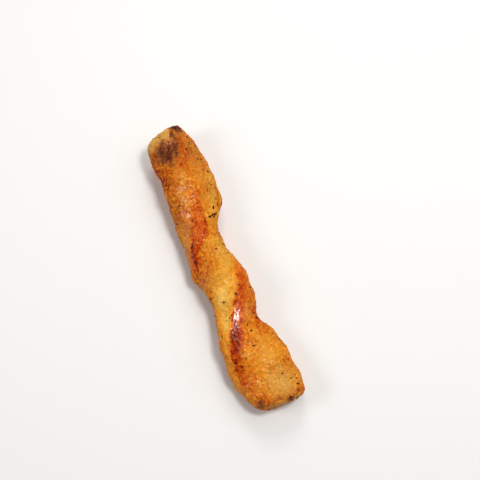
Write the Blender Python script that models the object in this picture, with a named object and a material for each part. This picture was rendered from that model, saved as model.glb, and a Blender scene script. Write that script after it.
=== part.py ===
"""A twisted herb breadstick: one strip of dough, turned about its own length and baked on a flat tray.

The strip runs along X. Its section is a rounded rectangle whose width turns steadily about the length,
so its four edges wind round the stick as ridges. The ends are domed, and the underside is pressed flat
where it lay on the tray. The row frame has +X along the stick from the end that stands on edge to the
end that lies flat, +Z up, and the origin on the ground under the middle of the stick's box.
"""

import math

import bmesh
import bpy
import numpy as np

MM = 0.001

# Driving sizes, in millimetres and degrees.
LENGTH = 192.0  # between the crowns of the two domed ends
SQUARENESS = 3.0  # power of the section's superellipse: 2 is an ellipse, and more is squarer
HEEL = 2.0  # height over which the side rounds into the flat underside
CAP = 7.0  # length of each domed end
CAP_ROUNDNESS = 3.2  # power of the dome's profile, as for the section

# The strip from end to end. Each row is one section: its place along the stick, half of its width, half of
# its thickness, the turn of the width about the stick (0 is level), the sideways shift of its centre, and
# how far the tray pressed its underside in (below 0 the section hangs clear of the tray).
STRIP = (
    (-97, 18.5, 13.0, 82, -2.5, 5.0),
    (-80, 19.0, 13.5, 60, -1.0, 6.0),
    (-60, 19.5, 14.0, 57, 0.5, 6.0),
    (-41, 17.0, 14.0, 50, -1.0, 3.5),
    (-27, 11.5, 13.5, 34, -5.5, -1.0),
    (-14, 13.0, 13.0, 10, -6.0, -2.0),
    (0, 15.0, 13.5, -36, -4.5, 2.0),
    (14, 14.5, 15.0, -88, -1.5, 1.0),
    (28, 12.5, 12.5, -128, -1.5, -1.0),
    (40, 14.0, 11.0, -142, -4.5, -1.5),
    (50, 18.5, 11.5, -155, -2.0, 0.5),
    (62, 20.5, 12.5, -163, -1.5, 2.5),
    (78, 20.0, 13.0, -178, 0.5, 3.5),
    (95, 16.5, 13.0, -184, 4.5, 3.5),
)

# How far each corner of the strip's two cut ends falls short of the end's crown (below 0, how far it stands
# past it). The corners are in the order (-width, +thickness), (+width, +thickness), (+width, -thickness),
# (-width, -thickness).
STANDING_END = (-2.0, -1.0, 4.0, 2.0)
LYING_END = (0.0, -0.5, -1.5, -1.0)

# Slow unevenness of the dough: height, waves along the stick, waves around it, and phase.
SWELLS = (
    (0.30, 5.0, 2, 0.6),
    (0.25, 8.0, -3, 2.1),
    (0.20, 13.0, 4, 4.0),
)

# Facets of the solid.
RINGS = 62
AROUND = 48
CAP_RINGS = 6

CRUST_COLOUR = (0.62, 0.27, 0.055, 1.0)
CRUST_ROUGHNESS = 0.5


def start_empty():
    for thing in list(bpy.data.objects):
        bpy.data.objects.remove(thing, do_unlink=True)


def strip_at(x):
    """The strip's half width, half thickness, turn, shift and press at each x, on smooth curves."""
    rows = np.array(STRIP, dtype=float)
    place = rows[:, 0]
    x = np.clip(x, place[0], place[-1])
    i = np.clip(np.searchsorted(place, x) - 1, 0, len(place) - 2)
    span = place[i + 1] - place[i]
    t = (x - place[i]) / span
    columns = []
    for value in rows[:, 1:].T:
        slope = np.empty_like(value)
        slope[1:-1] = (value[2:] - value[:-2]) / (place[2:] - place[:-2])
        slope[0] = (value[1] - value[0]) / (place[1] - place[0])
        slope[-1] = (value[-1] - value[-2]) / (place[-1] - place[-2])
        columns.append(
            value[i] * (2 * t**3 - 3 * t**2 + 1)
            + slope[i] * span * (t**3 - 2 * t**2 + t)
            + value[i + 1] * (3 * t**2 - 2 * t**3)
            + slope[i + 1] * span * (t**3 - t**2)
        )
    width, thickness, turn, shift, press = columns
    return width, thickness, np.radians(turn), shift, press


def corner_blend(u, v, corners):
    """A value given at the section's four corners, blended over the section."""
    reach = 2 ** (-1 / SQUARENESS)
    right = 0.5 + 0.5 * u / reach
    upper = 0.5 + 0.5 * v / reach
    a, b, c, d = corners
    return upper * ((1 - right) * a + right * b) + (1 - upper) * ((1 - right) * d + right * c)


def pressed_flat(z):
    """Heights with the tray at 0: flat under it, unchanged above the heel, and rounded between."""
    heel = (z + HEEL) ** 2 / (4 * HEEL)
    return np.where(z > HEEL, z, np.where(z < -HEEL, 0.0, heel))


def swell(x, around):
    """The dough's slow unevenness, as a share of the section's size."""
    total = np.zeros_like(x)
    for height, waves, turns, phase in SWELLS:
        total += height * np.sin(2 * math.pi * waves * x / LENGTH + turns * around + phase)
    return total


def crust_point(x, u, v, around):
    """The place on the stick at x with section coordinates u (width) and v (thickness)."""
    width, thickness, turn, shift, press = strip_at(x)
    grow = 1 + swell(x, around) / thickness
    across = width * grow * u
    through = thickness * grow * v
    power = SQUARENESS / (SQUARENESS - 1)
    depth = np.abs(width * np.sin(turn)) ** power + np.abs(thickness * np.cos(turn)) ** power
    centre = depth ** (1 / power) - press
    y = shift + across * np.cos(turn) + through * np.sin(turn)
    z = pressed_flat(centre - across * np.sin(turn) + through * np.cos(turn))
    return np.stack([x, y, z], axis=-1)


def ring_outline():
    """The section's outline, with u and v from -1 to 1, and the angle of each point."""
    around = np.arange(AROUND) * 2 * math.pi / AROUND
    radius = (np.abs(np.cos(around)) ** SQUARENESS + np.abs(np.sin(around)) ** SQUARENESS) ** (-1 / SQUARENESS)
    return around, radius * np.cos(around), radius * np.sin(around)


def stick_rings():
    """Rings of points from one tip to the other; a tip is one point."""
    around, u, v = ring_outline()
    rings = []
    dome = []
    for step in range(1, CAP_RINGS + 1):
        angle = 0.5 * math.pi * step / CAP_RINGS
        dome.append((math.cos(angle) ** (2 / CAP_ROUNDNESS), math.sin(angle) ** (2 / CAP_ROUNDNESS)))
    dome[-1] = (0.0, 1.0)
    for size, reach in reversed(dome):
        short = corner_blend(size * u, size * v, STANDING_END)
        x = -LENGTH / 2 + short + CAP * (1 - reach)
        rings.append(crust_point(x, size * u, size * v, around))
    low = -LENGTH / 2 + corner_blend(u, v, STANDING_END) + CAP
    high = LENGTH / 2 - corner_blend(u, v, LYING_END) - CAP
    for step in range(RINGS + 1):
        rings.append(crust_point(low + (high - low) * step / RINGS, u, v, around))
    for size, reach in dome:
        short = corner_blend(size * u, size * v, LYING_END)
        x = LENGTH / 2 - short - CAP * (1 - reach)
        rings.append(crust_point(x, size * u, size * v, around))
    return rings


def loft(name, rings):
    """One closed mesh through rings of points, in millimetres, whose first and last rings are tips."""
    mesh = bmesh.new()
    first = mesh.verts.new(rings[0][0] * MM)
    last = mesh.verts.new(rings[-1][0] * MM)
    loops = [[mesh.verts.new(point * MM) for point in ring] for ring in rings[1:-1]]
    for i in range(AROUND):
        j = (i + 1) % AROUND
        mesh.faces.new((first, loops[0][i], loops[0][j]))
        mesh.faces.new((last, loops[-1][j], loops[-1][i]))
        for near, far in zip(loops, loops[1:]):
            mesh.faces.new((near[i], far[i], far[j], near[j]))
    bmesh.ops.recalc_face_normals(mesh, faces=mesh.faces)
    data = bpy.data.meshes.new(name)
    mesh.to_mesh(data)
    mesh.free()
    data.shade_smooth()
    return bpy.data.objects.new(name, data)


def crust_material():
    material = bpy.data.materials.new("crust")
    material.use_nodes = True
    shader = material.node_tree.nodes["Principled BSDF"]
    shader.inputs["Base Color"].default_value = CRUST_COLOUR
    shader.inputs["Roughness"].default_value = CRUST_ROUGHNESS
    shader.inputs["Metallic"].default_value = 0.0
    return material


def main():
    start_empty()
    parts = bpy.data.collections.new("twisted_breadstick")
    bpy.context.scene.collection.children.link(parts)
    stick = loft("breadstick", stick_rings())
    stick.data.materials.append(crust_material())
    parts.objects.link(stick)


main()
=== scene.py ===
"""Looks of the twisted breadstick: baked crust, dried herb flakes, floor, lights and camera.

The crust is the strip of part.py worked out again at a finer pitch, with lumps, grain, pits and
creases as real relief. Its browning, and the painted light and shade laid over its grain and a few
places, are worked out for each vertex as a few masks, which the crust's material turns into colour.
Sizes here are in millimetres and angles in degrees unless a name says otherwise, and they become
metres and radians where they are used.

The stick lies along X: the standing end is at -X, where the strip stands on its edge, and the lying
end at +X. Tables of places give x and y as seen from above.
"""

import math

import bpy
import numpy as np
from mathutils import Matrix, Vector, noise


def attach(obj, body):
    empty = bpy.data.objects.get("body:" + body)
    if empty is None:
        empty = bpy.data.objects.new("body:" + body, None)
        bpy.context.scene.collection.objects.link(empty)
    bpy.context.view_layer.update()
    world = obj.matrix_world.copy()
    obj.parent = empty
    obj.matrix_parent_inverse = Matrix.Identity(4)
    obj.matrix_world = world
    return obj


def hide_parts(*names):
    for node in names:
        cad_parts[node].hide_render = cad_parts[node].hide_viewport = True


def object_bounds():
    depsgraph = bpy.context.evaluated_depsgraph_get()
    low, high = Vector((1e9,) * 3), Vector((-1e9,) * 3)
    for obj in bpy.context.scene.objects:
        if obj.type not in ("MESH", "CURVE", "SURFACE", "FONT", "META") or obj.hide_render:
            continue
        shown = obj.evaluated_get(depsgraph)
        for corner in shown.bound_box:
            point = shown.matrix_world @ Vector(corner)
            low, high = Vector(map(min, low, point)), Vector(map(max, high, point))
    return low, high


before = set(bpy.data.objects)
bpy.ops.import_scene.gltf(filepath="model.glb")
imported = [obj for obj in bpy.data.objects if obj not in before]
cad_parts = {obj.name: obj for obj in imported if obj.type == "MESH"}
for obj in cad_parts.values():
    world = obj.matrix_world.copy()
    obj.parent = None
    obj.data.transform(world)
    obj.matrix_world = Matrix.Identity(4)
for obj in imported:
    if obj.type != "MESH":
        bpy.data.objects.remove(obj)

MM = 0.001
CAD_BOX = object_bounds()
BOX_GAP = 0.05  # how far inside the CAD model's box the crust and flakes stay
SEED = 7

# --------------------------------------------------
# The strip, as in part.py
# --------------------------------------------------

LENGTH = 192.0  # between the crowns of the two domed ends
SQUARENESS = 3.0  # power of the section's superellipse: 2 is an ellipse, and more is squarer
CORNER_REACH = 2 ** (-1 / SQUARENESS)  # where the section's rounded corners lie, in u and in v
HEEL = 2.0  # height over which the side rounds into the flat underside
CAP = 7.0  # length of each domed end
CAP_ROUNDNESS = 3.2  # power of the dome's profile, as for the section

# Place along the stick, half width, half thickness, turn, sideways shift, depth pressed in by the tray.
STRIP = (
    (-97, 18.5, 13.0, 82, -2.5, 5.0),
    (-80, 19.0, 13.5, 60, -1.0, 6.0),
    (-60, 19.5, 14.0, 57, 0.5, 6.0),
    (-41, 17.0, 14.0, 50, -1.0, 3.5),
    (-27, 11.5, 13.5, 34, -5.5, -1.0),
    (-14, 13.0, 13.0, 10, -6.0, -2.0),
    (0, 15.0, 13.5, -36, -4.5, 2.0),
    (14, 14.5, 15.0, -88, -1.5, 1.0),
    (28, 12.5, 12.5, -128, -1.5, -1.0),
    (40, 14.0, 11.0, -142, -4.5, -1.5),
    (50, 18.5, 11.5, -155, -2.0, 0.5),
    (62, 20.5, 12.5, -163, -1.5, 2.5),
    (78, 20.0, 13.0, -178, 0.5, 3.5),
    (95, 16.5, 13.0, -184, 4.5, 3.5),
)
# How far each end is drawn in at the section's four corners, with u to the right and v up:
# upper left, upper right, lower right, lower left.
STANDING_END = (-2.0, -1.0, 4.0, 2.0)
LYING_END = (0.0, -0.5, -1.5, -1.0)
# Slow swellings of the dough: height, waves along the stick, turns around it, phase in radians.
SWELLS = (
    (0.30, 5.0, 2, 0.6),
    (0.25, 8.0, -3, 2.1),
    (0.20, 13.0, 4, 4.0),
)

# The fine mesh of the crust.
RINGS = 372  # steps between the two domed ends
AROUND = 240  # points in each ring
CAP_RINGS = 16  # rings of each domed end


def smooth_curve(place, value, x):
    """A smooth curve through (place, value), read at x."""
    x = np.clip(x, place[0], place[-1])
    i = np.clip(np.searchsorted(place, x) - 1, 0, len(place) - 2)
    span = place[i + 1] - place[i]
    t = (x - place[i]) / span
    slope = np.empty_like(value)
    slope[1:-1] = (value[2:] - value[:-2]) / (place[2:] - place[:-2])
    slope[0] = (value[1] - value[0]) / (place[1] - place[0])
    slope[-1] = (value[-1] - value[-2]) / (place[-1] - place[-2])
    return (
        value[i] * (2 * t**3 - 3 * t**2 + 1)
        + slope[i] * span * (t**3 - 2 * t**2 + t)
        + value[i + 1] * (3 * t**2 - 2 * t**3)
        + slope[i + 1] * span * (t**3 - t**2)
    )


def strip_at(x):
    """The strip's half width, half thickness, turn (in radians), shift and press at each x."""
    rows = np.array(STRIP, dtype=float)
    width, thickness, turn, shift, press = [smooth_curve(rows[:, 0], column, x) for column in rows[:, 1:].T]
    return width, thickness, np.radians(turn), shift, press


def corner_blend(u, v, corners):
    """A value given at the section's four corners, blended over the section."""
    right = 0.5 + 0.5 * u / CORNER_REACH
    upper = 0.5 + 0.5 * v / CORNER_REACH
    upper_left, upper_right, lower_right, lower_left = corners
    upper_value = (1 - right) * upper_left + right * upper_right
    lower_value = (1 - right) * lower_left + right * lower_right
    return upper * upper_value + (1 - upper) * lower_value


def pressed_flat(z):
    """Heights with the tray at 0: flat under it, unchanged above the heel, and rounded between."""
    heel = (z + HEEL) ** 2 / (4 * HEEL)
    return np.where(z > HEEL, z, np.where(z < -HEEL, 0.0, heel))


def swell(x, around):
    """The dough's slow unevenness, as a height."""
    total = np.zeros_like(x)
    for height, waves, turns, phase in SWELLS:
        total += height * np.sin(2 * math.pi * waves * x / LENGTH + turns * around + phase)
    return total


def crust_point(x, u, v, around):
    """The place on the stick at x with section coordinates u (width) and v (thickness)."""
    width, thickness, turn, shift, press = strip_at(x)
    grow = 1 + swell(x, around) / thickness
    across = width * grow * u
    through = thickness * grow * v
    power = SQUARENESS / (SQUARENESS - 1)
    depth = np.abs(width * np.sin(turn)) ** power + np.abs(thickness * np.cos(turn)) ** power
    centre = depth ** (1 / power) - press
    y = shift + across * np.cos(turn) + through * np.sin(turn)
    z = pressed_flat(centre - across * np.sin(turn) + through * np.cos(turn))
    return np.stack([x, y, z], axis=-1)


def dome_profile():
    """A domed end's rings as (size, reach), from next to its rim, (1, 0), to its tip, (0, 1)."""
    dome = []
    for step in range(1, CAP_RINGS):
        angle = 0.5 * math.pi * step / CAP_RINGS
        dome.append((math.cos(angle) ** (2 / CAP_ROUNDNESS), math.sin(angle) ** (2 / CAP_ROUNDNESS)))
    return dome + [(0.0, 1.0)]


def stick_grid():
    """Rings of crust points from the standing end's tip to the lying end's, and their (u, v)."""
    around = np.arange(AROUND) * 2 * math.pi / AROUND
    squared = np.abs(np.cos(around)) ** SQUARENESS + np.abs(np.sin(around)) ** SQUARENESS
    radius = squared ** (-1 / SQUARENESS)
    u = radius * np.cos(around)
    v = radius * np.sin(around)
    rings = []
    for size, reach in reversed(dome_profile()):
        x = -LENGTH / 2 + corner_blend(size * u, size * v, STANDING_END) + CAP * (1 - reach)
        rings.append((x, size * u, size * v))
    low = -LENGTH / 2 + corner_blend(u, v, STANDING_END) + CAP
    high = LENGTH / 2 - corner_blend(u, v, LYING_END) - CAP
    for step in range(RINGS + 1):
        rings.append((low + (high - low) * step / RINGS, u, v))
    for size, reach in dome_profile():
        x = LENGTH / 2 - corner_blend(size * u, size * v, LYING_END) - CAP * (1 - reach)
        rings.append((x, size * u, size * v))
    points = np.array([crust_point(x, ring_u, ring_v, around) for x, ring_u, ring_v in rings])
    section = np.array([np.stack([ring_u, ring_v], axis=-1) for x, ring_u, ring_v in rings])
    return points, section


def grid_normals(points):
    """Outward unit normals of a grid of rings whose first and last rings are single points."""
    along = np.gradient(points, axis=0)
    around = np.roll(points, -1, axis=1) - np.roll(points, 1, axis=1)
    normal = np.cross(around, along)
    length = np.linalg.norm(normal, axis=-1, keepdims=True)
    normal = normal / np.maximum(length, 1e-9)
    normal[0] = (-1.0, 0.0, 0.0)
    normal[-1] = (1.0, 0.0, 0.0)
    return normal


def vertex_area(points):
    """A share of the surface for each grid point."""
    along = np.linalg.norm(np.gradient(points, axis=0), axis=-1)
    across = np.linalg.norm(np.roll(points, -1, axis=1) - np.roll(points, 1, axis=1), axis=-1)
    return (along * across).reshape(-1)


# --------------------------------------------------
# Fields over the crust
# --------------------------------------------------

# A field fades in where the surface turns up: it goes from 0 to 1 over these heights of the unit normal.
SPOT_FACING = (-0.1, 0.25)
BAND_FACING = (-0.2, 0.1)
BAND_FADE_IN = 4.0  # length over which a band starts before its first row
BAND_FADE_OUT = 6.0  # length over which it ends after its last row
GROOVE_FADE = 4.0  # length over which a groove starts and ends
# Clouds, here and below, are rows of strength, size and seed.
BAND_WOBBLE = ((0.9, 3.2, 21), (0.6, 1.5, 22))


def toward(azimuth, elevation):
    """Unit vector from the object towards that direction, with azimuth 0 at -Y and 90 at +X."""
    a, e = math.radians(azimuth), math.radians(elevation)
    return Vector((math.sin(a) * math.cos(e), -math.cos(a) * math.cos(e), math.sin(e)))


def soft_step(low, high, value):
    """0 below low, 1 above high, and smooth between."""
    t = np.clip((value - low) / (high - low), 0, 1)
    return t * t * (3 - 2 * t)


def cloud(points, size, seed):
    """Smooth noise from about -1 to 1 with features of that size."""
    shift = Vector((31.7 * seed, 17.3 * seed, 7.9 * seed))
    return np.array([noise.noise(Vector(p) / size + shift) for p in points])


def clouds(points, rows):
    """A sum of clouds."""
    return sum(strength * cloud(points, size, seed) for strength, size, seed in rows)


def cells(points, size, seed):
    """Distance to the nearest cell's middle, in cells, from 0 to about 1."""
    shift = Vector((13.1 * seed, 41.9 * seed, 5.3 * seed))
    return np.array([noise.voronoi(Vector(p) / size + shift)[0][0] for p in points])


class Crust:
    """The grid of the crust and what is known of each of its points."""

    def __init__(self):
        points, section = stick_grid()
        self.shape = points.shape[:2]
        self.base = points.reshape(-1, 3)
        self.normal = grid_normals(points).reshape(-1, 3)
        self.area = vertex_area(points)
        self.u, self.v = section.reshape(-1, 2).T
        self.x, self.y, self.z = self.base.T
        self.up = self.normal[:, 2]
        self.wobble = clouds(self.base, BAND_WOBBLE)
        self.width, self.thickness = strip_at(self.x)[:2]
        self.raise_surface(np.zeros(len(self.x)))

    def raise_surface(self, height):
        """Move the surface out from the plain strip by a height for each point, but not through the floor."""
        self.surface = self.base + self.normal * height[:, None]
        self.surface[:, 2] = np.maximum(self.surface[:, 2], 0.0)
        self.order = np.argsort(self.surface[:, 0])
        self.ordered_x = self.surface[self.order, 0]

    def near(self, point, reach):
        """The surface's points within reach of a point."""
        first, last = np.searchsorted(self.ordered_x, (point[0] - reach, point[0] + reach))
        some = self.surface[self.order[first:last]]
        return some[np.sum((some - np.array(point)) ** 2, axis=1) < reach * reach]

    def top_index(self, x, y):
        """The grid point of the upper side nearest to (x, y) seen from above."""
        not_upper = np.where(self.up > 0.1, 0.0, LENGTH)
        return int(np.argmin(np.hypot(self.x - x, self.y - y) + not_upper))

    def ridge_distance(self, side_u, side_v):
        """Distance from one of the strip's four ridges, measured in the section."""
        du = self.width * (self.u - side_u * CORNER_REACH)
        dv = self.thickness * (self.v - side_v * CORNER_REACH)
        return np.hypot(du, dv)

    def spot(self, x, y, long, wide, angle=0.0):
        """A soft oval on the upper side, seen from above."""
        turn = math.radians(angle)
        dx = self.x - x
        dy = self.y - y
        a = (dx * math.cos(turn) + dy * math.sin(turn)) / long
        b = (dy * math.cos(turn) - dx * math.sin(turn)) / wide
        return np.exp(-(a * a + b * b)) * soft_step(*SPOT_FACING, self.up)

    def band(self, rows, left_soft, right_soft):
        """A band along the upper side. Rows are x, left edge, right edge (both as y) and strength."""
        rows = np.array(rows, dtype=float)
        first_x, last_x = rows[0, 0], rows[-1, 0]
        left, right, strength = [np.interp(self.x, rows[:, 0], column) for column in rows[:, 1:].T]
        ends = soft_step(first_x - BAND_FADE_IN, first_x, self.x)
        ends *= 1 - soft_step(last_x, last_x + BAND_FADE_OUT, self.x)
        y = self.y + self.wobble
        inside = soft_step(left - left_soft, left + left_soft, y)
        inside *= 1 - soft_step(right - right_soft, right + right_soft, y)
        return inside * strength * ends * soft_step(*BAND_FACING, self.up)

    def groove(self, rows, wide):
        """A narrow line along the upper side through rows of x and y."""
        rows = np.array(rows, dtype=float)
        first_x, last_x = rows[0, 0], rows[-1, 0]
        middle = np.interp(self.x, rows[:, 0], rows[:, 1])
        ends = soft_step(first_x, first_x + GROOVE_FADE, self.x)
        ends *= 1 - soft_step(last_x - GROOVE_FADE, last_x, self.x)
        return np.exp(-(((self.y - middle) / wide) ** 2)) * ends * soft_step(*BAND_FACING, self.up)


# The red-brown bands that follow the two ridges seen from above: x, left y, right y, strength.
FIRST_RIDGE_BAND = (
    (-95, 2.5, 8.5, 0.55),
    (-82, 0.5, 5.0, 0.45),
    (-70, -1.0, 4.5, 0.25),
    (-59, -1.0, 4.5, 0.30),
    (-49, -1.5, 4.5, 0.65),
    (-43, -4.0, 3.0, 0.70),
    (-37, -6.0, 2.0, 0.82),
    (-31, -8.5, 1.5, 1.00),
    (-25, -11.0, 0.5, 1.00),
    (-20, -12.5, -1.0, 1.00),
    (-16, -14.5, -5.0, 1.00),
    (-11, -16.5, -11.0, 0.95),
    (-6, -18.5, -14.0, 0.90),
    (1, -20.0, -17.0, 0.70),
)
SECOND_RIDGE_BAND = (
    (2, 7.5, 13.0, 0.30),
    (8, 7.0, 12.5, 0.60),
    (15, 5.0, 10.5, 0.68),
    (21, 2.5, 8.0, 0.72),
    (26, -2.0, 4.5, 0.80),
    (32, -5.0, 2.5, 0.80),
    (38, -8.5, -1.5, 0.92),
    (44, -11.2, -3.4, 1.14),
    (49, -13.2, -5.0, 1.20),
    (54, -15.5, -7.8, 1.14),
    (60, -17.0, -10.2, 1.00),
    (67, -17.0, -12.0, 0.75),
    (74, -17.5, -13.0, 0.55),
    (80, -18.0, -13.0, 0.30),
)
# The folded edge and the crease: x, y.
EDGE_FOLD = ((-54, 16.2), (-47, 15.8), (-42, 14.8), (-37, 12.8), (-32, 11.0))
FIRST_CREASE = ((-30, -8.9), (-24, -11.2), (-19, -12.6), (-14, -14.6), (-9, -17.0), (-3, -19.0))

# Changes of browning on the upper side: x, y, length, width, angle, change.
TONES = (
    (-72, -9, 6, 5, 0, 0.10),
    (-68, -12, 12, 6, 10, 0.08),
    (-59, -12, 11, 6, 0, 0.06),
    (-48, -12, 9, 5, 0, 0.05),
    (-38, -11, 9, 5, -20, 0.12),
    (-81, 7, 10, 5, 0, 0.08),
    (-66, 10, 9, 5, 0, 0.02),
    (-67, 1.5, 7, 4, 0, 0.06),
    (-77, 3, 7, 5, 0, 0.08),
    (-70, -16, 16, 3, 8, 0.05),
    (-40, -17, 14, 3, 0, 0.06),
    (-70, -17.5, 16, 3, 8, 0.10),
    (93, -1, 3, 8, 0, 0.14),
    (-55, 15, 12, 4, 0, -0.06),
    (-44, 14, 8, 4, 0, -0.04),
    (-37, 9, 8, 4, -20, -0.10),
    (-24, 7, 7, 4, -25, 0.06),
    (-11, 3, 8, 6, -20, -0.14),
    (1, 3, 8, 5, -25, -0.12),
    (-3, -6, 7, 4, -30, 0.10),
    (8, -8, 7, 4, -30, -0.13),
    (-5, -14.5, 6, 3, -15, 0.22),
    (6, -14.5, 6, 2.5, -10, 0.14),
    (14, -2, 7, 4.5, -20, -0.24),
    (21, -8.5, 8, 5, -20, -0.32),
    (25, -3, 5, 3, -20, -0.10),
    (19, 11, 10, 4, 0, 0.08),
    (28, 8, 8, 4, -10, 0.10),
    (38, 8, 8, 4, 0, 0.09),
    (36, -11, 10, 3, -20, -0.30),
    (58, -18, 18, 3, -6, -0.03),
    (52, -1, 8, 5, 10, 0.12),
    (45, 9.5, 7, 5, 0, 0.15),
    (63, -5, 8, 5, 10, -0.03),
    (72, -8, 8, 5, 0, 0.08),
    (60, 6, 14, 7, 10, -0.12),
    (83, 8, 9, 9, 10, -0.14),
    (76, 15, 10, 3, 15, 0.06),
    (80, -10, 7, 5, 0, 0.03),
    (90, -9, 4, 4, 0, 0.18),
    (92, 18, 3, 5, 0, 0.16),
)
# Places of the upper side with painted shade, darker but no redder, or with painted light where negative: as
# for TONES.
SHADED = (
    (-80, 6, 8, 6, 0, 0.18),
    (-84, -6, 4, 4, 0, -0.14),
    (-69, -1, 12, 5, 0, 0.14),
    (-76, 13, 12, 5, 0, 0.16),
    (-45, 13, 11, 5, 0, 0.20),
    (-38, -14, 12, 4, -10, 0.17),
    (-66, -9, 8, 5, 0, 0.07),
    (-18, 8, 9, 5, -20, 0.20),
    (-5, 3, 8, 5, -20, 0.12),
    (-70, -17, 16, 4, 8, 0.22),
    (50, -10, 9, 4, -20, 0.18),
    (80, 8, 12, 10, 10, 0.14),
    (93, 2, 4, 12, 10, 0.18),
    (62, -18, 20, 3, -6, -0.24),
    (36, -14, 8, 3, -15, -0.12),
    (40, -6, 4, 3, -20, -0.07),
    (67, -4, 7, 4, 10, -0.10),
)
# Dark toasted patches on the upper side, as for TONES but with a strength.
TOASTED = (
    (-79, -7.0, 9.5, 8.0, 10, 1.10),
    (-84, -5.5, 5, 6.0, 0, 0.68),
    (-80, -0.5, 8, 3.2, -10, 1.0),
    (-88, 1.8, 6, 2.0, 10, 0.9),
    (-94.5, 4.8, 5.0, 3.6, 45, 1.5),
    (-89, 0.8, 4.5, 1.3, -30, 0.75),
    (91.5, -10, 3.4, 2.8, 0, 0.8),
    (95.5, 9, 1.6, 3.0, 0, 0.9),
)
# Places where oil makes the browned crust shine, as for TOASTED.
OILED = (
    (-85, -6, 5, 5, 20, 0.4),
    (-50, -5, 11, 4.5, 0, 1.4),
    (-39, -9, 13, 5, -20, 1.75),
    (-15, -15, 14, 3, -15, 0.7),
    (2, -13, 8, 4, -20, 0.5),
    (35, -3, 6.5, 4.0, -12, 1.7),
    (41, -6.5, 5, 3.5, -35, 1.6),
    (33, 3, 6, 3, -10, 0.8),
    (48, -6, 9, 2.5, -20, 0.5),
    (80, -11, 9, 6, 0, 0.9),
    (62, 0, 12, 8, 0, 0.25),
)
# Single places: x, y, length, width and, where it matters, angle.
SMOOTH_PLACE = (36, -3.0, 7.0, 4.5, -10)  # the oiliest place, smoother and flatter than the rest
SMOOTH_FACING = (153, 82)  # azimuth and elevation that it is pressed to face
EVEN_PLACE = (20, 8, 22, 6, -25)  # the second ridge's upper part is browned evenly
GRAINY_PLACE = (-7, -2, 16, 7, -20)  # pale crust that is nearly as grainy as the browned
CALM_PLACE = (50, -9, 10, 4, -30)  # the darkest stretch of the second band, less grainy than the rest
PALE_PATCH = (85, 8, 8, 9, 10)  # pale dough by the lying end
LONE_BLISTER = (66.7, 5, 1.5, 1.2)
FOLD_LIP = (-30, 9, 5, 4)

FIRST_BAND_SOFT = (3.4, 1.4)  # how far the band's left and right edges fade
SECOND_BAND_LEFT_SOFT_X = (20, 38)
SECOND_BAND_LEFT_SOFT = (2.4, 0.9)
SECOND_BAND_RIGHT_SOFT = 3.2
PLAIN_BROWNING = 0.42
MOST_BROWNING = 0.92
UNEVEN_BROWNING = ((0.07, 12.0, 1), (0.05, 5.0, 2), (0.04, 2.4, 3))
UNEVEN_BANDS = ((0.18, 3.5, 4), (0.12, 1.4, 8))
EVENED_OUT = 0.7  # share of the unevenness that EVEN_PLACE loses
FIRST_BAND_BROWNING = 0.26
SECOND_BAND_BROWNING = 0.36
CREASE_BROWNING = 0.16
CREASE_SHADOW = 0.9  # half width of the brown line in the crease
FOLD_BROWNING = 0.24
FOLD_SHADOW = 0.7
TRAY_BROWNING = 0.26
TRAY_HEIGHT = (0.6, 0.0)  # the tray's mark comes in between these heights
TRAY_FACING = (-0.6, -0.9)  # and between these heights of the unit normal
# Ridges and the lying end are browned where they don't face up.
HIDDEN_FACING = (0.0, 0.5)
HIDDEN_RIDGE_BROWNING = 0.20
HIDDEN_RIDGE_WIDTH = 4.0
HIDDEN_END_BROWNING = 0.12
HIDDEN_END_X = (88.0, 95.0)
RIDGES = ((-1, 1), (1, 1), (1, -1), (-1, -1))  # signs of u and v


def summed(crust, rows):
    """The sum of several soft ovals at each point. Each row ends in its strength."""
    return sum(row[-1] * crust.spot(*row[:-1]) for row in rows)


def strongest(crust, rows):
    """The strongest of several soft ovals at each point."""
    return np.max([row[-1] * crust.spot(*row[:-1]) for row in rows], axis=0)


def first_band(crust):
    """The band along the first ridge."""
    return crust.band(FIRST_RIDGE_BAND, *FIRST_BAND_SOFT)


def second_band(crust):
    """The band along the second ridge, whose left edge gets sharper further along."""
    left_soft = np.interp(crust.x, SECOND_BAND_LEFT_SOFT_X, SECOND_BAND_LEFT_SOFT)
    return crust.band(SECOND_RIDGE_BAND, left_soft, SECOND_BAND_RIGHT_SOFT)


def hidden_browning(crust):
    """The browning of the ridges and of the lying end where the surface doesn't face up."""
    ridges = np.zeros(len(crust.x))
    for side_u, side_v in RIDGES:
        distance = crust.ridge_distance(side_u, side_v)
        ridges = np.maximum(ridges, np.exp(-((distance / HIDDEN_RIDGE_WIDTH) ** 2)))
    hidden = 1 - soft_step(*HIDDEN_FACING, crust.up)
    end = soft_step(*HIDDEN_END_X, crust.x)
    return hidden * (HIDDEN_RIDGE_BROWNING * ridges + HIDDEN_END_BROWNING * end)


def browning(crust):
    """How far each point is browned, from 0 (pale dough) to 1 (dark red-brown)."""
    even = crust.spot(*EVEN_PLACE)
    level = PLAIN_BROWNING + clouds(crust.base, UNEVEN_BROWNING) * (1 - EVENED_OUT * even)
    level += hidden_browning(crust) + summed(crust, TONES)
    ragged = 1 + clouds(crust.base, UNEVEN_BANDS)
    level += FIRST_BAND_BROWNING * first_band(crust) * ragged
    ragged += (1 - ragged) * even
    level += SECOND_BAND_BROWNING * second_band(crust) * ragged
    level += CREASE_BROWNING * crust.groove(FIRST_CREASE, CREASE_SHADOW)
    level += FOLD_BROWNING * crust.groove(EDGE_FOLD, FOLD_SHADOW)
    level += TRAY_BROWNING * soft_step(*TRAY_HEIGHT, crust.z) * soft_step(*TRAY_FACING, crust.up)
    return np.clip(level, 0, MOST_BROWNING)


RAGGED_TOAST = ((0.22, 3.0, 5), (0.26, 1.3, 6))
RAGGED_FROM = (0.0, 0.3)  # the toast's own strength over which its edge gets ragged
TOAST_RANGE = (0.10, 1.25)  # strength at which toast starts, and at which it is full


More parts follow.
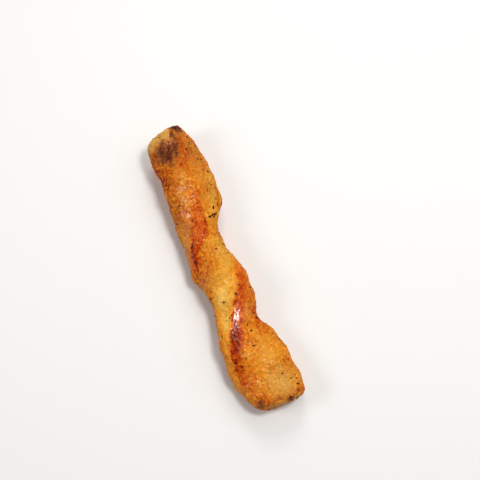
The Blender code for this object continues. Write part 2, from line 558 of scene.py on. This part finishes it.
def toasting(crust):
    """Dark toasted patches with ragged edges, from 0 to 1."""
    total = strongest(crust, TOASTED)
    ragged = clouds(crust.base, RAGGED_TOAST) * soft_step(*RAGGED_FROM, total)
    return soft_step(*TOAST_RANGE, total + ragged)


OIL_ON_BAND = 0.15
OIL_BAND_SOFT = (3.4, 1.2)
MOST_OIL = 1.8


def oiliness(crust):
    """Where the crust shines more, from 0 to 1."""
    on_band = OIL_ON_BAND * crust.band(FIRST_RIDGE_BAND, *OIL_BAND_SOFT)
    return np.clip(strongest(crust, OILED) + on_band, 0, MOST_OIL) / MOST_OIL


PALE_FACING = (0.0, 0.3)
PALE_BORDER = ((1.0, 4.0, 7),)
HIDDEN_PALE_BORDER = ((2.6, 9.0, 9), (1.2, 2.0, 10))
STANDING_PALE_X = (-87.6, -86.4)
STANDING_PALE_HIDDEN = (3, 1)  # how much wider that fade is where it is hidden, at each side
STANDING_PALE_Y = (-0.5, 1.5)  # the pale dough ends between these
STANDING_PALE_CORNER = 2.5  # how much further the pale dough reaches at the corner
STANDING_CORNER_Y = (-9.0, -14.0)
LYING_PALE_X = (92.5, 96.0)
LYING_PALE = 0.6
LYING_PALE_HIDDEN = 0.25  # how much less pale that end is where it is hidden
PLAIN_GOLD = 0.30
GOLDEN = ((0.45, 6.0, 17), (0.30, 1.6, 18))
PALE_PATCH_STRENGTH = 0.55


def pale_ends(crust):
    """The pale dough of the two domed ends and of a patch by the lying end, from 0 to 1."""
    hidden = 1 - soft_step(*PALE_FACING, crust.up)
    ragged = clouds(crust.base, PALE_BORDER) + hidden * clouds(crust.base, HIDDEN_PALE_BORDER)
    border = crust.x + ragged - STANDING_PALE_CORNER * soft_step(*STANDING_CORNER_Y, crust.y)
    low = STANDING_PALE_X[0] - STANDING_PALE_HIDDEN[0] * hidden
    high = STANDING_PALE_X[1] + STANDING_PALE_HIDDEN[1] * hidden
    standing = (1 - soft_step(low, high, border)) * (1 - soft_step(*STANDING_PALE_Y, crust.y + ragged))
    lying = (LYING_PALE - LYING_PALE_HIDDEN * hidden) * soft_step(*LYING_PALE_X, crust.x + ragged)
    golden = hidden * (PLAIN_GOLD + clouds(crust.base, GOLDEN))
    patch = PALE_PATCH_STRENGTH * crust.spot(*PALE_PATCH)
    return np.maximum(np.maximum(standing, lying) * np.clip(1 - golden, 0, 1), patch)


GRAINY_BROWNING = (0.26, 0.56)  # the crust goes from smooth to grainy between these
BAND_CALM = 0.55  # share of the graininess that the first band takes away
EVEN_PLACE_CALM = 0.8
CALM_PLACE_CALM = 0.5
GRAINY_PLACE_GRAIN = 0.5


def graininess(crust, brown):
    """How rough the crust's grain is, from 0 to 1."""
    grainy = soft_step(*GRAINY_BROWNING, brown) * (1 - BAND_CALM * first_band(crust))
    grainy *= 1 - EVEN_PLACE_CALM * crust.spot(*EVEN_PLACE)
    grainy = np.minimum(grainy + GRAINY_PLACE_GRAIN * crust.spot(*GRAINY_PLACE), 1)
    return grainy * (1 - CALM_PLACE_CALM * crust.spot(*CALM_PLACE))


# The light mask is painted light and shade, multiplied into the crust's colour: painted shade in the grain's
# hollows, between lumps and in the SHADED places, and painted light on the grain's tops and on lumps.
PLAIN_LIGHT = 0.735
OPEN_LIGHT = 0.55  # painted light and shade: how much lighter the grain's tops are than its hollows
LUMP_LIGHT = 0.10
SMOOTH_CONTRAST = 0.9  # how fast the grain's height turns into painted light and shade
GRAINY_CONTRAST = 0.5  # how much faster where it is grainy
GRAIN_PAINTED_SHADE = 0.28  # how much browner the hollows of the grain are than its tops: painted shade in the hollows, painted light on the tops


def painted_light_and_shade(crust, grain, lumps, grainy):
    """How light each point is painted: painted shade in the grain's hollows, between lumps, and in the shaded
    places.
    """
    openness = np.clip(0.5 + grain * (SMOOTH_CONTRAST + GRAINY_CONTRAST * grainy), 0, 1)
    return OPEN_LIGHT * openness + PLAIN_LIGHT + LUMP_LIGHT * lumps - summed(crust, SHADED)


# --------------------------------------------------
# Relief
# --------------------------------------------------

GRAIN_CLOUDS = ((0.24, 1.8, 13), (0.14, 1.1, 14))
# Cells in stirred coordinates, so that no two grains are alike.
STIR = 0.9
STIR_SIZE = 1.7
STIR_SEEDS = (23, 24, 25)
CELL_SIZE = 1.9
CELL_SEED = 15
CELL_HEIGHT = 0.50
CELL_MIDDLE = 0.42
CELL_LIMIT = 0.8
LEAST_GRAIN = 0.70  # share of the grain that is there where the crust isn't grainy
LUMP_SIZE = 3.2
LUMP_SEED = 12
LUMP_HEIGHT = 0.27
SWELLING = ((0.26, 8.0, 11),)
END_LUMPS = ((0.45, 4.5, 16),)
END_FACING = (0.5, 0.9)
SMOOTHED_OUT = 0.66  # share of the relief that SMOOTH_PLACE loses
FLATTENED = 0.92  # share of the way that it is moved to a plane
FLATTEN_RANGE = (-2.0, 1.0)  # heights over the plane that count
SMOOTH_DEPTH = 0.20  # how much deeper it is pressed
SMOOTH_STRENGTH = 1.15
FOLD_DEPTH = 0.6
FOLD_WIDTH = 0.6
CREASE_DEPTH = 0.55
CREASE_WIDTH = 0.8
BLISTER_HEIGHT = 0.6  # of LONE_BLISTER
LIP_HEIGHT = 0.8  # of FOLD_LIP
TRAY_RELIEF = (0.8, 0.0)  # the tray flattens the relief between these heights
TRAY_CALM = 0.8
SKIN_DEPTH = 0.30  # how far the crust lies inside the plain strip, to leave room for its relief

PIT_COUNT = 420
PIT_RADII = (0.35, 0.8)
PIT_DEPTHS = (0.12, 0.35)
BLISTER_COUNT = 70
BLISTER_RADII = (0.9, 2.2)
BLISTER_DEPTHS = (-0.3, -0.12)
BLISTER_FACING = (-0.3, 0.3)
DENT_REACH = 2.5  # in radii


def pick_points(crust, count, random, keep):
    """Seeded picks of grid points, spread evenly over the area, more of them where keep is higher."""
    weight = crust.area * keep
    return random.choice(len(crust.x), size=count, replace=False, p=weight / weight.sum())


def dents(crust, chosen, radii, depths):
    """A sum of round soft dents (or bumps, if the depth is negative) at chosen points."""
    total = np.zeros(len(crust.x))
    order = np.argsort(crust.x)
    sorted_x = crust.x[order]
    for index, radius, depth in zip(chosen, radii, depths):
        centre = crust.base[index]
        reach = DENT_REACH * radius
        first, last = np.searchsorted(sorted_x, (centre[0] - reach, centre[0] + reach))
        near = order[first:last]
        gap = np.sum((crust.base[near] - centre) ** 2, axis=1)
        total[near] -= depth * np.exp(-gap / radius**2)
    return total


def grain_relief(crust, grainy):
    """The height of the crust's grain."""
    stir = np.stack([cloud(crust.base, STIR_SIZE, seed) for seed in STIR_SEEDS], axis=-1)
    stirred = crust.base + STIR * stir
    grain = clouds(crust.base, GRAIN_CLOUDS)
    grain += CELL_HEIGHT * (CELL_MIDDLE - np.minimum(cells(stirred, CELL_SIZE, CELL_SEED), CELL_LIMIT))
    return grain * (LEAST_GRAIN + (1 - LEAST_GRAIN) * grainy)


def smoothed(crust, height):
    """The height with SMOOTH_PLACE smoother and pressed towards a plane, where the oil catches the light."""
    smooth = np.clip(SMOOTH_STRENGTH * crust.spot(*SMOOTH_PLACE), 0, 1)
    middle = crust.base[crust.top_index(*SMOOTH_PLACE[:2])]
    above = (crust.base - middle) @ np.array(toward(*SMOOTH_FACING))
    pressed = FLATTENED * np.clip(above, *FLATTEN_RANGE) + SMOOTH_DEPTH
    return height * (1 - SMOOTHED_OUT * smooth) - smooth * pressed


def relief(crust, grainy, random):
    """The crust's height over the plain strip, and its grain and lumps alone."""
    grain = grain_relief(crust, grainy)
    lumps = cloud(crust.base, LUMP_SIZE, LUMP_SEED)
    height = smoothed(crust, grain + clouds(crust.base, SWELLING) + LUMP_HEIGHT * lumps)
    height += soft_step(*END_FACING, abs(crust.normal[:, 0])) * clouds(crust.base, END_LUMPS)
    height -= FOLD_DEPTH * crust.groove(EDGE_FOLD, FOLD_WIDTH)
    height -= CREASE_DEPTH * crust.groove(FIRST_CREASE, CREASE_WIDTH)
    height += BLISTER_HEIGHT * crust.spot(*LONE_BLISTER) + LIP_HEIGHT * crust.spot(*FOLD_LIP)
    anywhere = np.ones(len(crust.x))
    pits = pick_points(crust, PIT_COUNT, random, anywhere)
    radii = random.uniform(*PIT_RADII, PIT_COUNT)
    height += dents(crust, pits, radii, random.uniform(*PIT_DEPTHS, PIT_COUNT))
    blisters = pick_points(crust, BLISTER_COUNT, random, soft_step(*BLISTER_FACING, crust.up))
    radii = random.uniform(*BLISTER_RADII, BLISTER_COUNT)
    height += dents(crust, blisters, radii, random.uniform(*BLISTER_DEPTHS, BLISTER_COUNT))
    by_tray = soft_step(*TRAY_RELIEF, crust.z)
    return height * (1 - TRAY_CALM * by_tray) - SKIN_DEPTH * (1 - by_tray), grain, lumps


# --------------------------------------------------
# Meshes
# --------------------------------------------------


def mesh_object(name, points, faces):
    """A smooth mesh object of points in millimetres, kept inside the CAD model's box."""
    low, high = np.array(CAD_BOX) / MM
    points = np.clip(points, low + BOX_GAP * (low < 0), high - BOX_GAP)
    data = bpy.data.meshes.new(name)
    data.from_pydata([tuple(p) for p in points * MM], [], faces)
    data.validate()
    data.shade_smooth()
    thing = bpy.data.objects.new(name, data)
    bpy.context.scene.collection.objects.link(thing)
    return thing


def vertex_number(ring, i, rings, around):
    """The vertex of a grid point, where the first and last rings are one vertex each."""
    if ring == 0:
        return 0
    if ring == rings - 1:
        return 1 + (rings - 2) * around
    return 1 + (ring - 1) * around + i % around


def crust_faces(rings, around):
    """Quads between rings, and fans of triangles at the two tips."""
    last = rings - 1
    faces = []
    for i in range(around):
        for ring in range(last):
            corners = ((ring, i), (ring + 1, i), (ring + 1, i + 1), (ring, i + 1))
            if ring == 0:
                corners = corners[:3]
            if ring == last - 1:
                corners = (corners[1], corners[3], corners[0])
            faces.append([vertex_number(*corner, rings, around) for corner in corners])
    return faces


def once_per_tip(values, shape):
    """Grid values with each tip's ring taken as one value."""
    grid = values.reshape(shape + values.shape[1:])
    middle = grid[1:-1].reshape((-1,) + values.shape[1:])
    return np.concatenate([grid[:1, 0], middle, grid[-1:, 0]])


def crust_object(crust, masks):
    """The crust's mesh, with each mask as an attribute of its vertices."""
    points = once_per_tip(crust.surface, crust.shape)
    thing = mesh_object("crust", points, crust_faces(*crust.shape))
    for name, values in masks.items():
        layer = thing.data.attributes.new(name, "FLOAT", "POINT")
        layer.data.foreach_set("value", once_per_tip(values, crust.shape).astype(np.float32))
    return thing


# --------------------------------------------------
# Dried herbs
# --------------------------------------------------

# Herb flakes seen on the upper side: x, y, length, angle from +X.
PLACED_FLAKES = (
    (-88, 10.5, 1.8, 30),
    (-82.5, 14.5, 1.7, 60),
    (-71.5, 11.5, 1.9, 10),
    (-52, 13.5, 1.7, 80),
    (-48, 9.5, 1.5, 20),
    (-36.5, 9, 2.6, -20),
    (-60.5, -15, 1.9, 15),
    (-58, -16, 1.6, 40),
    (-93, -11, 1.8, 50),
    (22.5, 1, 2.6, 10),
    (18.5, -14.5, 2.0, 70),
    (20.5, 11.5, 1.8, 50),
    (36.5, 8, 2.0, 100),
    (40, 8.5, 2.6, 20),
    (47, 1.5, 2.4, 95),
    (56.5, -0.5, 1.8, 100),
    (62.5, -15, 2.2, 70),
    (79, 10, 1.6, 0),
    (83.5, 14, 1.4, 20),
    (84.5, 17, 1.4, 60),
    (88, 17, 2.4, 95),
    (94, 9, 2.2, 90),
)
PLACED_WIDTH = (0.45, 0.65)  # in lengths
# A straight piece of stalk, made of short flakes in a row: x, y of its two ends.
STALK = ((-30.8, 3.9), (-32.4, 8.7))
STALK_PARTS = 6
STALK_PART_LENGTH = 1.8
STALK_WIDTH = 1.0
STALK_THICKNESS = 0.55

# Herbs scattered over the crust: count, shortest and longest, narrowest and widest (in lengths),
# how likely the lower side is to be hit, and the height below which none lie.
LOOSE_FLAKES = (60, (1.0, 2.2), (0.3, 0.6), 0.15, 1.5)
SPECKS = (260, (0.35, 0.8), (0.5, 0.9), 0.25, 1.0)
HERB_FACING = (-0.2, 0.6)

FLAKE_CORNERS = 7
FLAKE_SIZES = (0.8, 1.1)  # each corner's distance from the middle, in half lengths or widths
FLAKE_STRAY = (-0.25, 0.25)  # how far a corner strays around the outline, in corners
FLAKE_CURL = (-0.02, 0.10)  # how far the ends curl up, in lengths
FLAKE_SINK = 0.15  # how deep the underside lies in the crust
FLAKE_CROWN = 1.2  # height of the middle, in thicknesses
FLAKE_SEARCH = 0.7  # how far from its middle a flake looks for the crust: in lengths,
FLAKE_MARGIN = 0.6  # and what is added to that
THINNEST_FLAKE = 0.16
FLAKE_THICKENING = 0.05  # thickness that each millimetre of length adds


def flake_thickness(long):
    """The thickness of a leaf fragment of that length."""
    return THINNEST_FLAKE + FLAKE_THICKENING * long


def axes_at(crust, index, angle):
    """The point, its normal, and a tangent at that angle from +X."""
    normal = Vector(crust.normal[index])
    tangent = Vector((math.cos(angle), math.sin(angle), 0.0))
    tangent -= normal * tangent.dot(normal)
    if tangent.length < 0.1:  # the normal itself points nearly that way
        tangent = normal.orthogonal()
    tangent.normalize()
    return Vector(crust.surface[index]), normal, tangent


def flake_outline(crust, index, angle, long, wide, random):
    """The corners of a torn outline laid on the crust's relief, each with how near it is to an end."""
    point, normal, tangent = axes_at(crust, index, angle)
    side = normal.cross(tangent)
    near = crust.near(point, FLAKE_SEARCH * long + FLAKE_MARGIN)
    outline = []
    for k in range(FLAKE_CORNERS):
        turn = 2 * math.pi * (k + random.uniform(*FLAKE_STRAY)) / FLAKE_CORNERS
        size = random.uniform(*FLAKE_SIZES)
        flat = point + tangent * (0.5 * long * size * math.cos(turn))
        flat += side * (0.5 * wide * size * math.sin(turn))
        ground = near[np.argmin(np.sum((near - np.array(flat)) ** 2, axis=1))]
        outline.append((flat + normal * (Vector(ground) - flat).dot(normal), abs(math.cos(turn))))
    return outline, normal


def flake(crust, index, angle, long, wide, thick, random):
    """One closed flake: a thin leaf fragment with a torn outline."""
    curl = random.uniform(*FLAKE_CURL) * long
    outline, normal = flake_outline(crust, index, angle, long, wide, random)
    verts = []
    for lift in (-FLAKE_SINK, thick):
        for place, end in outline:
            verts.append(place + normal * (lift + curl * end * end))
    middle = sum((place for place, end in outline), Vector()) / FLAKE_CORNERS
    verts.append(middle + normal * (FLAKE_CROWN * thick))
    faces = [tuple(reversed(range(FLAKE_CORNERS)))]
    for k in range(FLAKE_CORNERS):
        after = (k + 1) % FLAKE_CORNERS
        faces.append((k, after, FLAKE_CORNERS + after, FLAKE_CORNERS + k))
        faces.append((FLAKE_CORNERS + k, FLAKE_CORNERS + after, 2 * FLAKE_CORNERS))
    return verts, faces


def flakes_object(name, crust, places, random):
    """All flakes of one kind as one mesh; places are (grid index, angle, length, width, thickness)."""
    verts = []
    faces = []
    for place in places:
        more_verts, more_faces = flake(crust, *place, random)
        faces += [tuple(len(verts) + k for k in face) for face in more_faces]
        verts += more_verts
    thing = mesh_object(name, np.array([tuple(p) for p in verts]), faces)
    thing.data.shade_flat()
    return thing


def placed_flakes(crust, random):
    """Places of the flakes that have a place of their own."""
    places = []
    for x, y, long, angle in PLACED_FLAKES:
        wide = long * random.uniform(*PLACED_WIDTH)
        places.append((crust.top_index(x, y), math.radians(angle), long, wide, flake_thickness(long)))
    return places


def stalk_flakes(crust):
    """Places of the flakes that make up the stalk."""
    start, end = STALK
    angle = math.atan2(end[1] - start[1], end[0] - start[0])
    places = []
    for part in range(STALK_PARTS):
        share = part / (STALK_PARTS - 1)
        x = start[0] + share * (end[0] - start[0])
        y = start[1] + share * (end[1] - start[1])
        places.append((crust.top_index(x, y), angle, STALK_PART_LENGTH, STALK_WIDTH, STALK_THICKNESS))
    return places


def scattered(crust, kind, random):
    """Places of the flakes of one scattered kind."""
    count, lengths, widths, low_share, least_z = kind
    likely = low_share + soft_step(*HERB_FACING, crust.up)
    places = []
    for index in pick_points(crust, count, random, likely * (crust.z > least_z)):
        long = random.uniform(*lengths)
        wide = long * random.uniform(*widths)
        places.append((int(index), random.uniform(0, math.tau), long, wide, flake_thickness(long)))
    return places


# --------------------------------------------------
# Materials
# --------------------------------------------------


def linear(red, green, blue):
    """Linear colour of a display colour given from 0 to 255."""
    values = [c / 255 for c in (red, green, blue)]
    return tuple(c / 12.92 if c <= 0.04045 else ((c + 0.055) / 1.055) ** 2.4 for c in values) + (1.0,)


class Nodes:
    """Short ways to add and link a material's nodes."""

    def __init__(self, name):
        self.material = bpy.data.materials.new(name)
        self.material.use_nodes = True
        self.tree = self.material.node_tree
        self.shader = self.tree.nodes["Principled BSDF"]

    def connect(self, socket, value):
        """Link another node's output to a socket, or set the socket's own value."""
        if isinstance(value, bpy.types.NodeSocket):
            self.tree.links.new(value, socket)
        else:
            socket.default_value = value

    def add(self, kind, settings=None, **inputs):
        """A new node. Its inputs are named as in Blender, with _ for a space."""
        node = self.tree.nodes.new(kind)
        for key, value in (settings or {}).items():
            setattr(node, key, value)
        for key, value in inputs.items():
            self.connect(node.inputs[key.replace("_", " ")], value)
        return node

    def set_shader(self, **inputs):
        """Inputs of the material's shader, named as for add."""
        for key, value in inputs.items():
            self.connect(self.shader.inputs[key.replace("_", " ")], value)

    def math(self, operation, first, second=0.0, third=0.0):
        """The output of a math node."""
        node = self.add("ShaderNodeMath", {"operation": operation})
        for socket, value in zip(node.inputs, (first, second, third)):
            self.connect(socket, value)
        return node.outputs[0]

    def scaled(self, value, factor, plus=0.0):
        """value * factor + plus."""
        return self.math("MULTIPLY_ADD", value, factor, plus)

    def mask(self, name):
        """One of the crust's masks."""
        return self.add("ShaderNodeAttribute", {"attribute_name": name}).outputs["Fac"]

    def place(self):
        """The place on the object, in metres."""
        return self.add("ShaderNodeTexCoord").outputs["Object"]

    def grain(self, size, detail):
        """Noise from 0 to 1 over the object, with features of that size in millimetres."""
        inputs = {"Scale": 1 / (size * MM), "Detail": detail, "Roughness": 0.55}
        return self.add("ShaderNodeTexNoise", Vector=self.place(), **inputs).outputs["Fac"]

    def ramp(self, factor, stops):
        """A colour ramp's output."""
        node = self.add("ShaderNodeValToRGB", Fac=factor)
        ramp = node.color_ramp
        ramp.elements[0].position, ramp.elements[0].color = stops[0]
        ramp.elements[1].position, ramp.elements[1].color = stops[-1]
        for position, colour in stops[1:-1]:
            ramp.elements.new(position).color = colour
        return node.outputs["Color"]

    def mix(self, factor, first, second, blend="MIX"):
        """The output of a colour mix, from first at factor 0 to second at factor 1."""
        node = self.add("ShaderNodeMix", {"data_type": "RGBA", "blend_type": blend})
        # Its first sockets are for numbers and vectors, and the two colours are 6 and 7.
        for key, value in ((0, factor), (6, first), (7, second)):
            self.connect(node.inputs[key], value)
        return node.outputs[2]


BROWNING_STOPS = (
    (0.00, linear(240, 196, 100)),
    (0.20, linear(234, 168, 62)),
    (0.40, linear(227, 141, 33)),
    (0.56, linear(221, 118, 18)),
    (0.70, linear(206, 82, 5)),
    (0.84, linear(160, 42, 3)),
    (1.00, linear(98, 26, 5)),
)
PALE_DOUGH = (linear(231, 177, 88), linear(214, 151, 68))
LIGHT_TOAST = linear(150, 80, 34)
DARK_TOAST = linear(84, 30, 9)
DARK_HERB = (linear(44, 16, 5), linear(84, 38, 14))
HERB_DUST = (linear(92, 42, 12), linear(140, 76, 26))

# Noise is size and detail.
FINE_NOISE = (0.9, 3.0)
SOFT_NOISE = (0.8, 2.0)
COARSE_NOISE = (3.2, 2.0)
# The crust's grains are cells in stirred coordinates here too.
GRAIN_SIZE = 1.8
GRAIN_STIR_SIZE = 1.6
GRAIN_STIR = 3.0
LEAST_SPECKLE = 0.55  # share of the speckle that is there where the crust isn't grainy
# What the speckle is made of: fine noise, the hollows between grains, browner there as a painted shade, and
# each grain's own tone.
FINE_SPECKLE = 0.28
HOLLOW_PAINTED_SHADE = 0.32
TONE_SPECKLE = 0.20
MEAN_SPECKLE = 0.39  # taken off, so that the speckle goes both ways
COARSE_BLOTCHES = 0.10
# The toast's strength where its mask is 1. At 0.5 it has the light toast's colour, and at 1 the dark one's.
TOAST_PLAIN = 0.95
TOAST_SPECKLE = 1.7
ROUGHNESS = 0.60
ROUGHNESS_NOISE = 0.20
ROUGHNESS_OIL = -0.25
SPECULAR = 0.08
COAT_PLAIN = 0.05
COAT_OIL = 0.95
COAT_ROUGHNESS = 0.19
SUBSURFACE = 0.10
SUBSURFACE_COLOURS = (1.0, 0.45, 0.2)  # each colour's share of the depth
SUBSURFACE_DEPTH = 1.5
BUMP_DEPTH = 1.1
BUMP_NOISE = 0.6
BUMP_TONE = 0.35
BUMP_OIL = -0.5


def crust_grains(made):
    """The crust's grains: the hollows between them, and each one's own tone."""
    place = made.place()
    noise_inputs = {"Scale": 1 / (GRAIN_STIR_SIZE * MM), "Detail": 1.0}
    stir = made.add("ShaderNodeTexNoise", Vector=place, **noise_inputs).outputs["Color"]
    stirred = made.add("ShaderNodeVectorMath", {"operation": "MULTIPLY_ADD"})
    for socket, value in zip(stirred.inputs, (stir, (GRAIN_STIR * MM,) * 3, place)):
        made.connect(socket, value)
    grains = made.add("ShaderNodeTexVoronoi", Vector=stirred.outputs[0], Scale=1 / (GRAIN_SIZE * MM))
    tone = made.add("ShaderNodeSeparateColor", Color=grains.outputs["Color"]).outputs["Red"]
    return grains.outputs["Distance"], tone


def crust_colour(made, fine, speckle_and_shade, amount):
    """The crust's colour: browning, pale dough, toast, and the painted light and shade of the light mask."""
    level = made.math("MULTIPLY_ADD", speckle_and_shade, amount, made.mask("browning"))
    level = made.scaled(made.grain(*COARSE_NOISE), COARSE_BLOTCHES, level)
    level = made.math("SUBTRACT", level, COARSE_BLOTCHES / 2)
    colour = made.ramp(level, BROWNING_STOPS)
    colour = made.mix(made.mask("pale"), colour, made.mix(fine, *PALE_DOUGH))
    toasted = made.math("MULTIPLY", made.scaled(speckle_and_shade, TOAST_SPECKLE, TOAST_PLAIN), made.mask("toast"))
    colour = made.mix(made.scaled(toasted, 2.0), colour, LIGHT_TOAST)
    colour = made.mix(made.scaled(toasted, 2.0, -1.0), colour, DARK_TOAST)
    # The colour is multiplied by the light mask, a painted light and shade.
    light = made.mask("light")
    light = made.add("ShaderNodeCombineColor", Red=light, Green=light, Blue=light).outputs["Color"]
    return made.mix(1.0, colour, light, "MULTIPLY")


def crust_bump(made, hollows, tone, amount):
    """The normal of the crust's fine bump, which is weaker under oil."""
    height = made.scaled(hollows, -1.0, made.scaled(made.grain(*SOFT_NOISE), BUMP_NOISE))
    height = made.scaled(tone, BUMP_TONE, height)
    height = made.math("MULTIPLY", height, made.scaled(made.mask("oil"), BUMP_OIL, amount))
    bump = made.add("ShaderNodeBump", Strength=1.0, Distance=BUMP_DEPTH * MM, Height=height)
    return bump.outputs["Normal"]


def crust_material():
    """Baked crust: browned where its masks say, speckled and bumpy with grains, with painted shade in the
    grains' hollows and the light mask's painted light and shade, and shiny where oily.
    """
    made = Nodes("baked_crust")
    fine = made.grain(*FINE_NOISE)
    hollows, tone = crust_grains(made)
    amount = made.scaled(made.mask("grainy"), 1 - LEAST_SPECKLE, LEAST_SPECKLE)
    speckle_and_shade = made.scaled(fine, FINE_SPECKLE)
    # browner in the hollows between grains: a painted shade
    speckle_and_shade = made.scaled(hollows, HOLLOW_PAINTED_SHADE, speckle_and_shade)
    speckle_and_shade = made.scaled(tone, TONE_SPECKLE, speckle_and_shade)
    speckle_and_shade = made.math("SUBTRACT", speckle_and_shade, MEAN_SPECKLE)
    oil = made.mask("oil")
    made.set_shader(
        Base_Color=crust_colour(made, fine, speckle_and_shade, amount),
        Roughness=made.scaled(oil, ROUGHNESS_OIL, made.scaled(fine, ROUGHNESS_NOISE, ROUGHNESS)),
        Specular_IOR_Level=SPECULAR,
        Coat_Weight=made.scaled(oil, COAT_OIL, COAT_PLAIN),
        Coat_Roughness=COAT_ROUGHNESS,
        Subsurface_Weight=SUBSURFACE,
        Subsurface_Radius=SUBSURFACE_COLOURS,
        Subsurface_Scale=SUBSURFACE_DEPTH * MM,
        Normal=crust_bump(made, hollows, tone, amount),
    )
    return made.material


def herb_material(name, colours):
    """Dried leaf, matt and mottled between a dark and a light colour."""
    made = Nodes(name)
    colour = made.mix(made.grain(*SOFT_NOISE), *colours)
    made.set_shader(Base_Color=colour, Roughness=0.85, Specular_IOR_Level=0.12)
    return made.material


def floor_material():
    """The studio's plain pale floor."""
    made = Nodes("pale_floor")
    made.set_shader(Base_Color=(0.80, 0.80, 0.79, 1.0), Roughness=0.8)
    return made.material


# --------------------------------------------------
# Stage
# --------------------------------------------------

CAMERA_AZIMUTH = 68.2
CAMERA_ELEVATION = 78.0
CAMERA_DISTANCE_M = 0.682
CAMERA_LENS = 78.75  # on a 36 mm sensor
CAMERA_AIM_M = Vector((-0.0117, 0.0175, 0.014))

# Square soft lights that face the object: name, azimuth, elevation, size in metres, watts, colour.
LIGHTS = (
    ("key", 174, 74, 0.17, 4.7, (1.0, 0.98, 0.95)),
    ("broad", 178, 55, 0.90, 2.5, (1.0, 0.98, 0.98)),
    ("side", -15, 44, 0.35, 2.5, (0.96, 0.97, 1.0)),
    ("top", -112, 45, 0.35, 3.0, (1.0, 0.98, 0.96)),
)
LIGHT_DISTANCE_M = 1.0
WORLD_STRENGTH = 0.22
FLOOR_HALF_M = 3.0
FLOOR_GAP = 0.2  # how far the floor lies under the stick, so that the two don't flicker


def place_facing(name, data, aim, back, distance):
    """A new object for a camera's or a light's data, away from aim in the direction back, facing it."""
    thing = bpy.data.objects.new(name, data)
    thing.location = aim + back * distance
    thing.rotation_mode = "QUATERNION"
    thing.rotation_quaternion = (-back).to_track_quat("-Z", "Y")
    bpy.context.scene.collection.objects.link(thing)
    return thing


def add_camera():
    """The camera, at the photograph's viewing angle."""
    data = bpy.data.cameras.new("camera")
    data.sensor_width = 36
    data.lens = CAMERA_LENS
    data.clip_start = 0.01
    back = toward(CAMERA_AZIMUTH, CAMERA_ELEVATION)
    bpy.context.scene.camera = place_facing("camera", data, CAMERA_AIM_M, back, CAMERA_DISTANCE_M)


def add_lights():
    """The studio's lights and its even white surroundings."""
    for name, azimuth, elevation, size, power, colour in LIGHTS:
        data = bpy.data.lights.new(name, "AREA")
        data.size = size
        data.energy = power
        data.color = colour
        place_facing(name, data, Vector(), toward(azimuth, elevation), LIGHT_DISTANCE_M)
    world = bpy.data.worlds.new("studio")
    world.use_nodes = True
    background = world.node_tree.nodes["Background"]
    background.inputs["Color"].default_value = (1.0, 1.0, 1.0, 1.0)
    background.inputs["Strength"].default_value = WORLD_STRENGTH
    bpy.context.scene.world = world


def add_floor():
    """The floor under the stick."""
    half = FLOOR_HALF_M
    corners = [(-half, -half, 0), (half, -half, 0), (half, half, 0), (-half, half, 0)]
    data = bpy.data.meshes.new("floor")
    data.from_pydata(corners, [], [(0, 1, 2, 3)])
    data.materials.append(floor_material())
    floor = bpy.data.objects.new("floor", data)
    floor.location.z = -FLOOR_GAP * MM
    bpy.context.scene.collection.objects.link(floor)


def make_crust(random):
    """The crust's fields and mesh."""
    crust = Crust()
    brown = browning(crust)
    grainy = graininess(crust, brown)
    height, grain, lumps = relief(crust, grainy, random)
    crust.raise_surface(height)
    masks = {
        # the grain's hollows browner as painted shade, its tops paler as painted light
        "browning": brown - GRAIN_PAINTED_SHADE * grain * grainy,
        "toast": toasting(crust),
        "pale": pale_ends(crust),
        "oil": oiliness(crust),
        "grainy": grainy,
        # painted light and shade, multiplied into the colour
        "light": painted_light_and_shade(crust, grain, lumps, grainy),
    }
    shell = crust_object(crust, masks)
    shell.data.materials.append(crust_material())
    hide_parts("breadstick")
    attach(shell, "root")
    return crust


def make_herbs(crust, random):
    """The herb flakes and the finer specks of herb."""
    places = placed_flakes(crust, random) + stalk_flakes(crust) + scattered(crust, LOOSE_FLAKES, random)
    herbs = flakes_object("herb_flakes", crust, places, random)
    herbs.data.materials.append(herb_material("dried_herb", DARK_HERB))
    specks = flakes_object("herb_specks", crust, scattered(crust, SPECKS, random), random)
    specks.data.materials.append(herb_material("herb_dust", HERB_DUST))
    for piece in (herbs, specks):
        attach(piece, "root")


def main():
    """The whole scene."""
    random = np.random.default_rng(SEED)
    crust = make_crust(random)
    make_herbs(crust, random)
    add_floor()
    add_lights()
    add_camera()
    bpy.context.scene.view_settings.view_transform = "Standard"


main()
